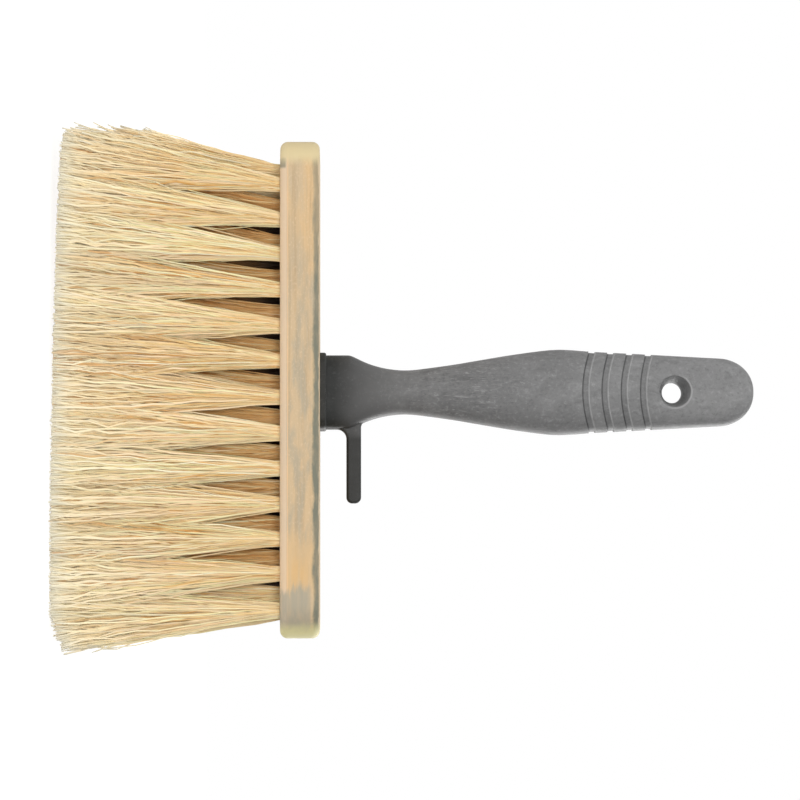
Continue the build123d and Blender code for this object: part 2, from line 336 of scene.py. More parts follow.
@dataclass(frozen=True)
class PlanedWood:
    """Pale bare softwood with grain along the block, grey marks, a painted highlight along the top edge and
    sealed pale ends.
    """

    ground: Colour = paint(205, 180, 144)
    warm: Colour = paint(220, 184, 134)
    grey: Colour = paint(170, 161, 141)
    grain: Colour = paint(180, 150, 112)
    rim_grey: Colour = paint(122, 122, 106)
    # A pale cream: flecks in the wood, and a painted highlight along the top edge's crest and over the top
    # face.
    fleck_and_highlight: Colour = paint(232, 208, 172)
    tuft_side: Colour = paint(228, 202, 172)
    bright_line: Colour = paint(238, 198, 152)
    amber: Colour = paint(224, 178, 112)
    sealed: Colour = paint(222, 204, 158)
    sealed_hook: Colour = paint(234, 224, 164)
    clouds: Pattern = Pattern((24, 160, 170), 4, 0.6, 0.4)
    blotches: Pattern = Pattern((60, 210, 240), 3, 0.6, shift=3.7)
    fibres: Pattern = Pattern((60, 1100, 1300), 4, 0.7, 0.3)
    lines: Pattern = Pattern((12, 480, 560), 3, 0.6, 0.5, 1.9)
    speckle: Pattern = Pattern((900, 1500, 1500), 2, 0.7, shift=6.4)
    tongues: Pattern = Pattern((70, 380, 380), 3, 0.65, shift=8.1)
    waves: Pattern = Pattern((45, 60, 60), 3, 0.65, shift=5.2)
    flecks: Pattern = Pattern((130, 420, 420), 3, 0.7, shift=2.3)
    tongue_reach: float = 13 * MM  # how ragged the marks' ends are, along the block
    wave_reach: float = 1.3 * MM  # how far the marks along the edges wander
    fleck_reach: float = 1.6 * MM  # how frayed the rim's grey is
    grain_depth: float = 0.12 * MM
    edge_rounding: float = 2.6 * MM
    grey_from: float = -62 * MM  # the middle has greyed from here, along the block
    grey_full: float = -15 * MM
    orange: Span = (50 * MM, 68.5 * MM)
    orange_soft: float = 6 * MM
    glow_length: float = 9 * MM  # of the strongest orange, up to the grey patch
    glow_soft: float = 4 * MM
    patch_soft: float = 1.8 * MM
    patch_below: float = 1 * MM  # how far the patch takes to reach its full grey below the rim
    sealed_ends: Span = (-77.5 * MM, 81 * MM)
    sealed_soft: float = 2.5 * MM
    rim_start: Span = (-0.2 * MM, 1.0 * MM)  # above the start of the rounding
    rim_early: float = 20 * MM  # how far the rim greys ahead of the middle
    highlight_start: Span = (-0.75 * MM, -0.4 * MM)  # from the block's top, where the painted highlight starts
    face_start: Span = (-0.4 * MM, -0.05 * MM)  # from the block's top, which keeps clear of the grey
    under_soft: float = 0.6 * MM
    under_line: Span = (-0.1 * MM, 0.25 * MM)  # from the start of the lower rounding
    line_soft: float = 0.15 * MM
    smudge: Span = (-78.5 * MM, -75 * MM)
    smudge_soft: float = 0.6 * MM
    smudge_height: Span = (-0.2 * MM, -1.0 * MM)  # from the start of the lower rounding

    def make(self, low: Vector, high: Vector) -> Material:
        """Builds the material.

        Args:
            low: The block's lowest corner.
            high: Its highest corner.

        Returns:
            The material.
        """
        b = Bench(bpy.data.materials.new("planed_wood"))
        x, z = b.along(0), b.along(2)
        clouds, blotches = b.noise(self.clouds), b.noise(self.blotches)
        fibres, lines, speckle = b.noise(self.fibres), b.noise(self.lines), b.noise(self.speckle)
        ragged = b.noise(self.tongues).swing(self.tongue_reach)
        torn = x + ragged
        aged = x.rise(self.grey_from, self.grey_full)
        colour = b.mix(clouds.rise(0.40, 0.62) * (0.75 - 0.45 * aged), self.ground, self.warm)
        colour = b.mix(blotches.rise(0.42, 0.64) * (0.2 + 0.5 * aged), colour, self.grey)
        colour = b.mix(lines.rise(0.48, 0.72) * 0.4, colour, self.grain)
        colour = b.mix(fibres.rise(0.48, 0.78) * 0.5, colour, self.grain)
        colour = b.mix(speckle.rise(0.5, 0.75) * 0.32, colour, self.fleck_and_highlight)
        start, end = self.orange
        orange = torn.band(start, end, self.orange_soft)
        colour = b.mix(orange * (0.35 + 0.6 * clouds), colour, self.warm)
        glow = torn.band(end - self.glow_length, end, self.glow_soft)
        colour = b.mix(glow * 0.4 * lines.rise(0.3, 0.6), colour, self.amber)
        colour = self._lay_edges(b, colour, x, z, low, high, clouds)
        patch = torn.rise(end - self.patch_soft, end + self.patch_soft)
        rim_from = high.z - self.edge_rounding
        below_rim = z.rise(rim_from, rim_from - self.patch_below)
        colour = b.mix(patch * (0.25 + 1.1 * lines) * below_rim, colour, self.grey)
        uneven = x + ragged * 0.15
        plain, hook = self.sealed_ends
        sealed = uneven.rise(plain + self.sealed_soft, plain - self.sealed_soft)
        colour = b.mix(sealed * 0.9, colour, self.sealed)
        sealed = uneven.rise(hook - self.sealed_soft, hook + self.sealed_soft)
        colour = b.mix(sealed * 0.9, colour, self.sealed_hook)
        return b.skin(
            {
                "Base Color": colour,
                "Roughness": 0.52 + 0.2 * fibres,
                "Normal": b.bump(fibres * 0.5 + lines * 0.35 + speckle * 0.15, self.grain_depth),
                "Specular IOR Level": 0.35,
            }
        )

    def _lay_edges(
        self, b: Bench, colour: Input, x: Value, z: Value, low: Vector, high: Vector, clouds: Value
    ) -> NodeSocket:
        """Lays marks along the block's long edges: grey on the top edge's rounding, a painted highlight
        along its crest and over the top face, a pale strip, a bright line and a smudge on the lower
        rounding.

        Args:
            b: The bench.
            colour: The wood so far.
            x: The place along the block.
            z: The height.
            low: The block's lowest corner.
            high: Its highest corner.
            clouds: Where the marks are stronger.

        Returns:
            The wood with its edges.
        """
        wander = b.noise(self.waves).swing(self.wave_reach)
        flecks = b.noise(self.flecks)
        wavy = z + wander
        frayed = wavy + flecks.swing(self.fleck_reach)
        rim_from = high.z - self.edge_rounding
        face = z.rise(*(high.z + depth for depth in self.face_start))
        rim = frayed.rise(*(rim_from + depth for depth in self.rim_start)) * (1 - face)
        rim_greying = x.rise(self.grey_from - self.rim_early, self.grey_full)
        colour = b.mix(rim * (0.52 + 0.44 * rim_greying) * (0.2 + 0.6 * clouds + flecks), colour, self.rim_grey)
        broken = flecks.rise(0.4, 0.62) * (1 - face) + face
        # Painted highlight along the top edge's crest, broken by flecks, and over the top face.
        fleck_and_highlight = wavy.rise(*(high.z + depth for depth in self.highlight_start)) * broken
        colour = b.mix(fleck_and_highlight * 0.6, colour, self.fleck_and_highlight)
        under = low.z + self.edge_rounding
        steady = z + wander * 0.2
        colour = b.mix(steady.rise(under, under - self.under_soft) * 0.75, colour, self.tuft_side)
        start, end = (under + depth for depth in self.under_line)
        line = steady.band(start, end, self.line_soft)
        colour = b.mix(line * (0.2 + 0.9 * clouds), colour, self.bright_line)
        smudge = x.band(*self.smudge, self.smudge_soft)
        smudge = smudge * z.rise(*(under + depth for depth in self.smudge_height))
        return b.mix(smudge * 0.75, colour, self.rim_grey)


@dataclass(frozen=True)
class PlantFibre:
    """Undyed plant fibre: from brown over straw to nearly white, fibre by fibre, palest at the tips, partly
    by bleaching and partly by painted light, with painted shade at the roots of the innermost rows.

    The spans are ways along a fibre, from 0 at its root to 1 at its tip.
    """

    brown: Colour = paint(198, 134, 66)
    amber: Colour = paint(228, 176, 104)
    straw: Colour = paint(243, 219, 164)
    peach: Colour = paint(248, 222, 184)
    lemon: Colour = paint(243, 236, 184)
    white: Colour = paint(250, 243, 214)
    deep: Colour = paint(52, 36, 24)  # the roots of the innermost rows, which hardly any light reaches
    deep_span: Span = (0.1, 0.4)
    root: Colour = paint(243, 222, 170)
    root_span: Span = (0.05, 0.5)
    # The tips' pale colours: partly the fibres' own bleaching and partly painted light.
    tip: Colour = paint(253, 240, 206)
    tip_span: Span = (0.35, 1.0)
    frayed: Colour = paint(255, 252, 236)
    frayed_span: Span = (0.88, 1.0)
    mottling: Pattern = Pattern((160, 7, 1))
    mottle_reach: float = 0.35

    def make(self) -> Material:
        """Builds the material, which reads nothing but the fibres' own map.

        Returns:
            The material.
        """
        b = Bench(bpy.data.materials.new("plant_fibre"))
        b.stand_on(b.node("ShaderNodeUVMap", {"uv_map": STRAND_MAP}).outputs[0])
        shade, way = b.along(0), b.along(1)
        mottled = shade + b.noise(self.mottling).swing(self.mottle_reach)
        tones = (self.brown, self.amber, self.straw, self.peach, self.lemon, self.white)
        colour = b.ramp(mottled, [(place / (len(tones) - 1), tone) for place, tone in enumerate(tones)])
        colour = b.mix((1 - way.rise(*self.root_span)) * 0.25, colour, self.root)
        buried = 1 - shade.rise(0.02, 0.06)
        # Painted shade at the roots of the buried rows.
        colour = b.mix(buried * (1 - way.rise(*self.deep_span)), colour, self.deep)
        bleached_and_lit = 0.35 + 0.65 * shade.rise(0.05, 0.5)
        colour = b.mix(way.rise(*self.tip_span) * bleached_and_lit * 0.75, colour, self.tip)
        colour = b.mix(way.rise(*self.frayed_span) * bleached_and_lit * 0.5, colour, self.frayed)
        return b.skin(
            {
                "Base Color": colour,
                "Roughness": 0.45 + 0.2 * (1 - mottled),
                "Specular IOR Level": 0.3,
            }
        )


@dataclass(frozen=True)
class GreyPlastic:
    """Satin grey moulding, darker to its foot, with flow marks, painted shade in its grooves and painted
    highlights along them and round the hang hole.

    Its heights count from the block's top.
    """

    foot: Colour = paint(20, 21, 18)
    shoulder: Colour = paint(73, 73, 73)
    neck: Colour = paint(104, 104, 104)
    grip: Colour = paint(102, 102, 102)
    end: Colour = paint(121, 121, 121)
    grey_heights: tuple[float, ...] = (5 * MM, 13 * MM, 27 * MM, 36 * MM, 140 * MM)  # of these five
    flow_dark: Colour = paint(66, 66, 66)
    # A pale grey: paler clouds, flow, speckle and scratches, and painted highlights along the grooves and
    # round the hang hole.
    pale_and_highlight: Colour = paint(168, 168, 168)
    # Painted shade in the grooves.
    groove_shade: Colour = paint(36, 36, 36)
    flow: Pattern = Pattern((300, 300, 150), 4, 0.62, 0.9)
    clouds: Pattern = Pattern((110, 110, 60), 3, 0.55, 0.4, 2.3)
    speckle: Pattern = Pattern((900, 900, 760), 3, 0.7, 0.2, 4.4)
    grit: Pattern = Pattern((2400, 2400, 2400), 2, 0.6)
    scratches: Pattern = Pattern((1300, 1300, 160), 2, 0.5, 1.5, 5.5)
    patches: Pattern = Pattern((500, 500, 500), 2, 0.6, shift=7.7)
    relief: float = 0.08 * MM
    scuffed: Span = (30 * MM, 66 * MM)
    scuffed_soft: float = 12 * MM
    hook_side: float = 14 * MM
    hook_top: float = 18 * MM
    hook_soft: float = 3 * MM
    groove_count: int = 4
    first_groove: float = 91.9 * MM
    groove_pitch: float = 6.7 * MM
    groove_bow: float = 36 * MM  # the bow's radius
    groove_half: float = 1.1 * MM
    groove_soft: float = 0.15 * MM
    bow_soft: float = 1 * MM
    line_width: float = 0.5 * MM
    line_soft: float = 0.12 * MM
    highlight_line: Span = (-0.35 * MM, 0.2 * MM)  # where the painted highlight lies, from the groove's upper edge
    hang_height: float = 123.2 * MM
    hang_rim: Span = (5.5 * MM, 6.1 * MM)  # the painted highlight round the hang hole
    hang_soft: float = 0.2 * MM
    hang_lit: Span = (-3 * MM, 4 * MM)  # where the ring sets in, from its lower side

    def make(self, block_top: float) -> Material:
        """Builds the material.

        Args:
            block_top: The height of the block's top, from which the moulding's heights count.

        Returns:
            The material.
        """
        b = Bench(bpy.data.materials.new("grey_plastic"))
        x, height = b.along(0), b.along(2) - block_top
        flow, clouds, speckle = b.noise(self.flow), b.noise(self.clouds), b.noise(self.speckle)
        grit, scratches = b.noise(self.grit), b.noise(self.scratches)
        full = self.grey_heights[-1]
        greys = (self.foot, self.shoulder, self.neck, self.grip, self.end)
        stops = [(place / full, grey) for place, grey in zip(self.grey_heights, greys)]
        colour = b.ramp(height / full, stops)
        plain = height.rise(self.grey_heights[1], self.grey_heights[3])
        colour = b.mix(clouds.rise(0.38, 0.68) * 0.1 * plain, colour, self.pale_and_highlight)
        colour = b.mix(flow.rise(0.52, 0.74) * 0.28 * plain, colour, self.flow_dark)
        colour = b.mix(flow.rise(0.46, 0.30) * 0.16 * plain, colour, self.pale_and_highlight)
        colour = b.mix(speckle.rise(0.52, 0.74) * (0.05 + 0.24 * plain), colour, self.pale_and_highlight)
        colour = b.mix(speckle.rise(0.47, 0.27) * 0.36 * plain, colour, self.flow_dark)
        scuffed = height.band(*self.scuffed, self.scuffed_soft)
        colour = b.mix(scratches.rise(0.6, 0.7) * 0.35 * scuffed, colour, self.pale_and_highlight)
        colour = b.mix(scratches.rise(0.38, 0.3) * 0.4 * scuffed, colour, self.flow_dark)
        hook = x.rise(self.hook_side, self.hook_side + self.hook_soft)
        hook = hook * height.rise(self.hook_top + self.hook_soft, self.hook_top)
        colour = b.mix(hook * 0.85, colour, self.foot)
        colour = self._lay_grooves(b, colour, x, height)
        past = height - self.hang_height
        # Painted highlight on the lit side of the hang hole's rim.
        ring = ((x * x + past * past) ** 0.5).band(*self.hang_rim, self.hang_soft)
        lit = (past + 0.6 * x).rise(*self.hang_lit)
        colour = b.mix(ring * lit * 0.5, colour, self.pale_and_highlight)
        return b.skin(
            {
                "Base Color": colour,
                "Roughness": 0.5 + 0.16 * flow,
                "Normal": b.bump(grit * 0.3 + speckle * 0.4 + flow * 0.3, self.relief),
                "Specular IOR Level": 0.35,
            }
        )

    def _lay_grooves(self, b: Bench, colour: Input, x: Value, height: Value) -> NodeSocket:
        """Lays painted shade over each bowed groove and darker along its lower corner, and a painted
        highlight along its upper edge.

        Args:
            b: The bench.
            colour: The plastic so far.
            x: The place across the grip.
            height: The height above the block.

        Returns:
            The plastic with its grooves marked.
        """
        patchy = b.noise(self.patches)
        edge = self.groove_half
        highlight_from, highlight_to = (way - edge for way in self.highlight_line)
        for number in range(self.groove_count):
            bow_centre = self.first_groove + number * self.groove_pitch + self.groove_bow
            sunk = bow_centre - height
            below = (x * x + sunk * sunk) ** 0.5 - self.groove_bow
            in_bow = sunk.rise(0, self.bow_soft)
            floor = below.band(-edge, edge, self.groove_soft) * in_bow
            # Painted shade over the groove's floor.
            colour = b.mix(floor * 0.1, colour, self.groove_shade)
            # Painted shade along the groove's lower corner.
            groove_shade = below.band(edge - self.line_width, edge, self.line_soft) * in_bow
            colour = b.mix(groove_shade * (0.4 + 0.5 * patchy), colour, self.groove_shade)
            # Painted highlight along the groove's upper edge.
            pale_and_highlight = below.band(highlight_from, highlight_to, self.line_soft) * in_bow
            colour = b.mix(pale_and_highlight * (0.15 + 0.6 * patchy), colour, self.pale_and_highlight)
        return colour


@dataclass(frozen=True)
class PlatedSteel:
    """Zinc-plated steel with fine scratches and a dull bloom."""

    bright: Colour = paint(198, 199, 200)
    dull: Colour = paint(150, 150, 148)
    bloom: Pattern = Pattern((700, 700, 700), 3, 0.6)
    scratches: Pattern = Pattern((4000, 500, 4000), 2, 0.5)
    scratch_depth: float = 0.01 * MM

    def make(self) -> Material:
        """Builds the material.

        Returns:
            The material.
        """
        b = Bench(bpy.data.materials.new("plated_steel"))
        bloom, scratches = b.noise(self.bloom), b.noise(self.scratches)
        return b.skin(
            {
                "Base Color": b.mix(bloom.rise(0.4, 0.7), self.bright, self.dull),
                "Metallic": 1.0,
                "Roughness": 0.28 + 0.25 * bloom,
                "Normal": b.bump(scratches, self.scratch_depth),
            }
        )


def add_mesh(name: str, places: np.ndarray, faces: Sequence[np.ndarray]) -> Object:
    """Makes a smooth-shaded mesh object at the origin.

    Args:
        name: The piece's name.
        places: Its vertices, one row each.
        faces: Arrays of vertex numbers, each with one row for each face of one number of sides.

    Returns:
        The object, in the scene.
    """
    mesh = bpy.data.meshes.new(name)
    mesh.vertices.add(len(places))
    mesh.vertices.foreach_set("co", places.astype(np.float32).ravel())
    corners = np.concatenate([part.ravel() for part in faces]).astype(np.int32)
    sides = np.concatenate([np.full(len(part), part.shape[1]) for part in faces])
    starts = np.concatenate([[0], np.cumsum(sides)[:-1]]).astype(np.int32)
    mesh.loops.add(len(corners))
    mesh.loops.foreach_set("vertex_index", corners)
    mesh.polygons.add(len(sides))
    mesh.polygons.foreach_set("loop_start", starts)
    mesh.polygons.foreach_set("use_smooth", np.ones(len(sides), bool))
    mesh.update(calc_edges=True)
    mesh.validate()
    piece = bpy.data.objects.new(name, mesh)
    bpy.context.scene.collection.objects.link(piece)
    return piece


def place_piece(piece: Object, material: Material, node: str) -> None:
    """Dresses a new piece and lets it stand for a node.

    Args:
        piece: The piece.
        material: Its finish.
        node: The node that it stands for.
    """
    piece.data.materials.append(material)
    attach(piece, "root")
    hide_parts(node)


def dress_node(node: str, material: Material) -> None:
    """Gives a node of the frame a finish in place of its plain one.

    Args:
        node: The node.
        material: Its finish.
    """
    target = frame["nodes"][node]
    target.data.materials.clear()
    target.data.materials.append(material)


@dataclass
class TuftRow:
    """One row of tufts: where it leaves the block."""

    number: int  # from 1
    places: np.ndarray = field(init=False)  # the tufts' centres, X and Y
    height: float = field(init=False)  # of the tuft face

    def __post_init__(self) -> None:
        """Works the places out from the row's wire anchors, which cross each tuft."""
        low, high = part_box(f"wire_anchors_{self.number}")
        half_wire = 0.25 * MM
        across = np.linspace(low.x + half_wire, high.x - half_wire, TUFTS_IN_ROW)
        middle = (low.y + high.y) / 2
        self.places = np.stack([across, np.full(TUFTS_IN_ROW, middle)], axis=1)
        self.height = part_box("block")[0].z

    @property
    def node(self) -> str:
        """The node that the row's pieces stand for."""
        return f"tuft_row_{self.number}"


@dataclass
class Bristles:
    """All the fibres: thin tapered strands that leave each hole as a bundle and fan out to the tips."""

    fibres_in_tuft: int = 420
    locks_in_tuft: int = 12
    root_depth: float = 7.0 * MM  # how far the folded roots reach into the block
    root_radius: float = 2.55 * MM
    splay: Span = (0.15, 0.095)  # of a tuft's outermost fibres, along the block and across
    uneven_splay: float = 0.12
    stray_share: float = 0.03  # of the fibres, which bow more than the others
    stray_more: float = 1.2
    # How far each row leans along the block, just under it: the inner rows close the view between the outer.
    set_aside: tuple[float, ...] = (-0.6 * MM, 0.6 * MM, 1.0 * MM, -1.0 * MM, -1.0 * MM, 1.0 * MM)
    set_unevenly: float = 0.4 * MM
    set_within: float = 3.5 * MM
    set_less: float = 0.4  # the share of it that is missing right at the block
    outer_reach: Span = (96.6 * MM, 38.5 * MM)  # of the outermost fibres at the tips
    drift: float = -3.2 * MM  # how far all tips are brushed towards the plain end
    lock_pull: float = 0.18
    lean: float = 0.9 * MM
    bow: float = 1.1 * MM
    lock_bow_share: float = 0.6  # of that bow, by which whole locks bow
    crimp: float = 0.5 * MM
    thin: float = 0.15 * MM
    thick: float = 0.27 * MM
    tip_swell: float = 0.35  # how much thicker the frayed tips are
    cords: int = 90  # thicker strands inside each tuft, which stand for the many fibres there
    cord_thick: float = 0.42 * MM  # at the tips, where the tuft is widest
    cord_within: float = 0.92
    cord_short: float = 0.6 * MM
    # How much darker the cords are: painted shade between the fibres.
    cord_darker: float = 0.06
    trim: float = 0.8 * MM  # how unevenly the tips are cut
    tip_slant: float = 0.123  # per metre: how the tip line curves up away from the hook's end
    tip_lowest: float = 75 * MM
    corner_from: float = 89.2 * MM
    corner_slope: float = 2.3
    hook_corner_from: float = 75 * MM
    hook_corner_slope: float = 0.28
    shades: int = 96
    shade: float = 0.66  # of the outermost fibres
    # The shade of the fibres inside the whole: darker, partly as less bleached fibres and partly as painted
    # shade.
    inner_shade: float = 0.2
    hollow_shade: float = 0.3  # how much darker a tuft is inside than outside: painted shade
    hollow_within: float = 0.8  # the share of its radius inside which it is darker
    outer_from: Span = (0.88, 0.6)  # shares of the outer reach where fibres start to pale
    pale_full: float = 0.8  # the share of the way on from there where they are palest
    outer_pale: float = 0.85  # the least paleness in the outer rows and in every row's end tufts
    uneven_shade: tuple[float, float, float] = (0.15, 0.09, 0.05)  # by fibre, by lock and by tuft
    shade_range: Span = (0.07, 0.999)
    buried_rows: tuple[int, ...] = (3, 4)  # their tufts take the shade 0, which gives their roots painted shade, but for the end ones
    map_width: float = 0.5  # the share of a shade's band that a strand takes, in the band's middle
    map_margin: float = 0.004  # how much of the map's height its walls leave free at root and tip
    map_cap: float = 0.003  # how high the patches of its closed ends are
    strand_sides: int = 3
    stations: ClassVar[tuple[float, ...]] = (0.0, 0.12, 0.26, 0.38, 0.48, 0.57, 0.66, 0.75, 0.83, 0.91, 1.0)

    def build(self, material: Material) -> list[Object]:
        """Builds two pieces for each row, one for each half.

        Args:
            material: The fibres' finish.

        Returns:
            The pieces.
        """
        rows = [TuftRow(number) for number in range(1, ROW_COUNT + 1)]
        outermost = np.max([np.abs(row.places).max(axis=0) for row in rows], axis=0)
        own_reach = self.root_radius + np.array(self.splay) * rows[0].height
        fan = (np.array(self.outer_reach) - own_reach) / outermost - 1
        log.info("tufts fan out by %.3f along the block and %.3f across it", *fan)
        made = []
        for row in rows:
            for half in Half:
                rng = default_rng(100 * row.number + list(Half).index(half))
                middle = TUFTS_IN_ROW // 2
                tufts = row.places[:middle] if half is Half.PLAIN else row.places[middle:]
                strands = [self._tuft(rng, row, place, fan) for place in tufts]
                piece = self._piece(f"fibres_{row.number}_{half.value}", strands)
                place_piece(piece, material, row.node)
                made.append(piece)
        return made

    def _tuft(self, rng: Generator, row: TuftRow, centre: np.ndarray, fan: np.ndarray) -> Strands:
        """Lays out one tuft.

        Args:
            rng: The seeded source of chance.
            row: The row that it stands in.
            centre: Its centre where it leaves the block.
            fan: How much wider the whole is at the tips than at the block, along X and Y.

        Returns:
            The points along each fibre, its radius at each, and its shade.
        """
        count = self.fibres_in_tuft
        rooted = self._in_disc(rng, count)
        spread = self._in_disc(rng, count)
        rooted[: self.cords] *= self.cord_within
        spread[: self.cords] *= self.cord_within
        locks = self._in_disc(rng, self.locks_in_tuft)
        lock = rng.integers(0, self.locks_in_tuft, count)
        stray = 1 + self.stray_more * (rng.random(count) < self.stray_share)
        splay = np.array(self.splay) * (1 + rng.normal(0, self.uneven_splay, 2))
        lean = rng.normal(0, self.lean, 2)
        bow = rng.normal(0, self.bow, (count, 2)) * stray[:, None]
        lock_bow = rng.normal(0, self.lock_bow_share * self.bow, (self.locks_in_tuft, 2))[lock]
        aside = rng.normal(0, self.set_unevenly, 2)
        aside[0] += self.set_aside[row.number - 1]
        full = row.height
        tip_x = self.drift + centre[0] * (1 + fan[0]) + spread[:, 0] * (self.root_radius + splay[0] * full)
        length = full - self._tip_height(rng, tip_x)
        length[: self.cords] -= self.cord_short
        below = np.concatenate([[0.0], np.array(self.stations)])
        steps = below[None, :] * length[:, None]
        steps[:, 0] = -self.root_depth
        down = steps.clip(0)
        share = (down / full)[:, :, None]
        outward = spread[:, None, :] * (1 - self.lock_pull * share)
        outward = outward + locks[lock][:, None, :] * self.lock_pull * share
        place = centre * (1 + fan * share) + rooted[:, None, :] * self.root_radius
        place = place + outward * splay * down[:, :, None]
        place += aside * (1 - self.set_less * np.exp(-down / self.set_within))[:, :, None]
        place += share**2 * (bow + lock_bow)[:, None, :] + share * (lean + (self.drift, 0))
        place += rng.normal(0, self.crimp, place.shape) * np.sqrt(share) * stray[:, None, None] ** 0.5
        points = np.concatenate([place, (full - steps)[:, :, None]], axis=2)
        swell = 1 + self.tip_swell * share[:, :, 0] ** 2
        radius = rng.uniform(self.thin, self.thick, count)[:, None] * swell
        radius[: self.cords] = self.thick + (self.cord_thick - self.thick) * share[: self.cords, :, 0]
        return points, radius, self._shade(rng, row, centre, place[:, -1], spread, lock)

    def _shade(
        self,
        rng: Generator,
        row: TuftRow,
        centre: np.ndarray,
        tips: np.ndarray,
        spread: np.ndarray,
        lock: np.ndarray,
    ) -> np.ndarray:
        """Shades a tuft's fibres: paler towards the outside of the whole and of the tuft, and darker inside,
        partly as less bleached fibres and partly as painted shade.

        Args:
            rng: The seeded source of chance.
            row: The row that the tuft stands in.
            centre: Its centre where it leaves the block.
            tips: The fibres' tips, X and Y.
            spread: Their places in the tuft, as in a disc of radius 1.
            lock: The number of the lock that each belongs to.

        Returns:
            The shades, from 0 to 1.
        """
        start = np.array(self.outer_from)
        outer = (np.abs(tips) / self.outer_reach - start) / (1 - start)
        pale = outer.max(axis=1).clip(0, self.pale_full) / self.pale_full
        at_end = centre[0] in row.places[[0, -1], 0]
        if at_end or row.number in (1, ROW_COUNT):
            pale = pale.clip(self.outer_pale)
        by_fibre, by_lock, by_tuft = self.uneven_shade
        shade = self.inner_shade + (self.shade - self.inner_shade) * pale
        shade += rng.normal(0, by_fibre, len(tips)) + rng.normal(0, by_lock, self.locks_in_tuft)[lock]
        shade += rng.normal(0, by_tuft)
        # Painted shade: darker towards the middle of the tuft, and in the cords.
        shade += self.hollow_shade * (np.hypot(spread[:, 0], spread[:, 1]) - self.hollow_within)
        shade[: self.cords] -= self.cord_darker
        buried = row.number in self.buried_rows and not at_end
        return np.zeros(len(tips)) if buried else shade.clip(*self.shade_range)

    @staticmethod
    def _in_disc(rng: Generator, count: int) -> np.ndarray:
        """Spreads points evenly over a disc of radius 1.

        Args:
            rng: The seeded source of chance.
            count: How many there are.

        Returns:
            Their places, X and Y.
        """
        turn = rng.uniform(0, 2 * math.pi, count)
        out = np.sqrt(rng.uniform(0, 1, count))
        return np.stack([out * np.cos(turn), out * np.sin(turn)], axis=1)

    def _tip_height(self, rng: Generator, tip_x: np.ndarray) -> np.ndarray:
        """Trims the tips: on a line that curves up, unevenly, and higher at the outer corners.

        Args:
            rng: The seeded source of chance.
            tip_x: Where each tip lies along the block.

        Returns:
            How high each tip ends.
        """
        line = self.tip_slant * (self.tip_lowest - tip_x).clip(0) ** 2
        corner = self.corner_slope * (np.abs(tip_x) - self.corner_from).clip(0)
        corner += self.hook_corner_slope * (tip_x - self.hook_corner_from).clip(0)
        return line + corner + np.abs(rng.normal(0, self.trim, len(tip_x)))

    def _piece(self, name: str, strands: list[Strands]) -> Object:
        """Makes one mesh of many strands, with their own map.

        Args:
            name: The piece's name.
            strands: Each tuft's strands.

        Returns:
            The piece.
        """
        points = np.concatenate([part[0] for part in strands])
        radius = np.concatenate([part[1] for part in strands])
        shade = np.concatenate([part[2] for part in strands])
        count, rings, _ = points.shape
        sides = self.strand_sides
        start = default_rng(len(points)).uniform(0, 2 * math.pi, count)
        turn = start[:, None] + np.arange(sides) * 2 * math.pi / sides
        ring = np.stack([np.cos(turn), np.sin(turn), np.zeros_like(turn)], axis=2)
        places = points[:, :, None, :] + radius[:, :, None, None] * ring[:, None, :, :]
        number = np.arange(count * rings * sides).reshape(count, rings, sides)
        after = np.roll(number, -1, axis=2)
        walls = np.stack([number[:, :-1], number[:, 1:], after[:, 1:], after[:, :-1]], axis=-1)
        roots, tips = number[:, 0], number[:, -1, ::-1]
        faces = [walls.reshape(-1, 4), roots, tips]
        piece = add_mesh(name, places.reshape(-1, 3), faces)
        self._crease(piece.data, sides)
        self._lay_map(piece, shade, (count, rings, sides))
        return piece

    @staticmethod
    def _crease(mesh: Mesh, sides: int) -> None:
        """Shades each strand's sides flat across and smooth along: every edge between two rings is sharp.

        Args:
            mesh: The strands.
            sides: How many sides each has.
        """
        ends = np.empty(2 * len(mesh.edges), np.int32)
        mesh.edges.foreach_get("vertices", ends)
        ring = ends.reshape(-1, 2) // sides
        sharp = mesh.attributes.new("sharp_edge", "BOOLEAN", "EDGE")
        sharp.data.foreach_set("value", ring[:, 0] != ring[:, 1])

    def _lay_map(self, piece: Object, shade: np.ndarray, shape: tuple[int, int, int]) -> None:
        """Lays each strand on a narrow upright band of the map: its shade across, root to tip up.

        Args:
            piece: The piece.
            shade: Each strand's shade, from 0 to 1.
            shape: The number of strands, rings and sides.
        """
        count, rings, sides = shape
        band = np.floor(shade * self.shades) / self.shades
        step = self.map_width / self.shades / sides
        left_margin = (1 - self.map_width) / 2 / self.shades
        left = band[:, None, None] + left_margin + step * np.arange(sides)[None, None, :]
        up = np.linspace(self.map_margin, 1 - self.map_margin, rings)
        low = np.broadcast_to(up[:-1][None, :, None], (count, rings - 1, sides))
        high = np.broadcast_to(up[1:][None, :, None], (count, rings - 1, sides))
        left = np.broadcast_to(left, (count, rings - 1, sides))
        right = left + step
        walls = np.stack([left, low, left, high, right, high, right, low], axis=-1).reshape(-1, 2)
        cap = np.stack([left[:, 0, :1], left[:, 0, :1] + 2 * step, left[:, 0, :1] + step], axis=1)
        heights = np.array([0.0, 0.0, self.map_cap])[None, :, None]
        roots = np.concatenate([cap, np.broadcast_to(heights, cap.shape)], axis=2).reshape(-1, 2)
        tips = np.concatenate([cap, np.broadcast_to(1 - heights, cap.shape)], axis=2).reshape(-1, 2)
        layer = piece.data.uv_layers.new(name=STRAND_MAP)
        layer.uv.foreach_set("vector", np.concatenate([walls, roots, tips]).astype(np.float32).ravel())


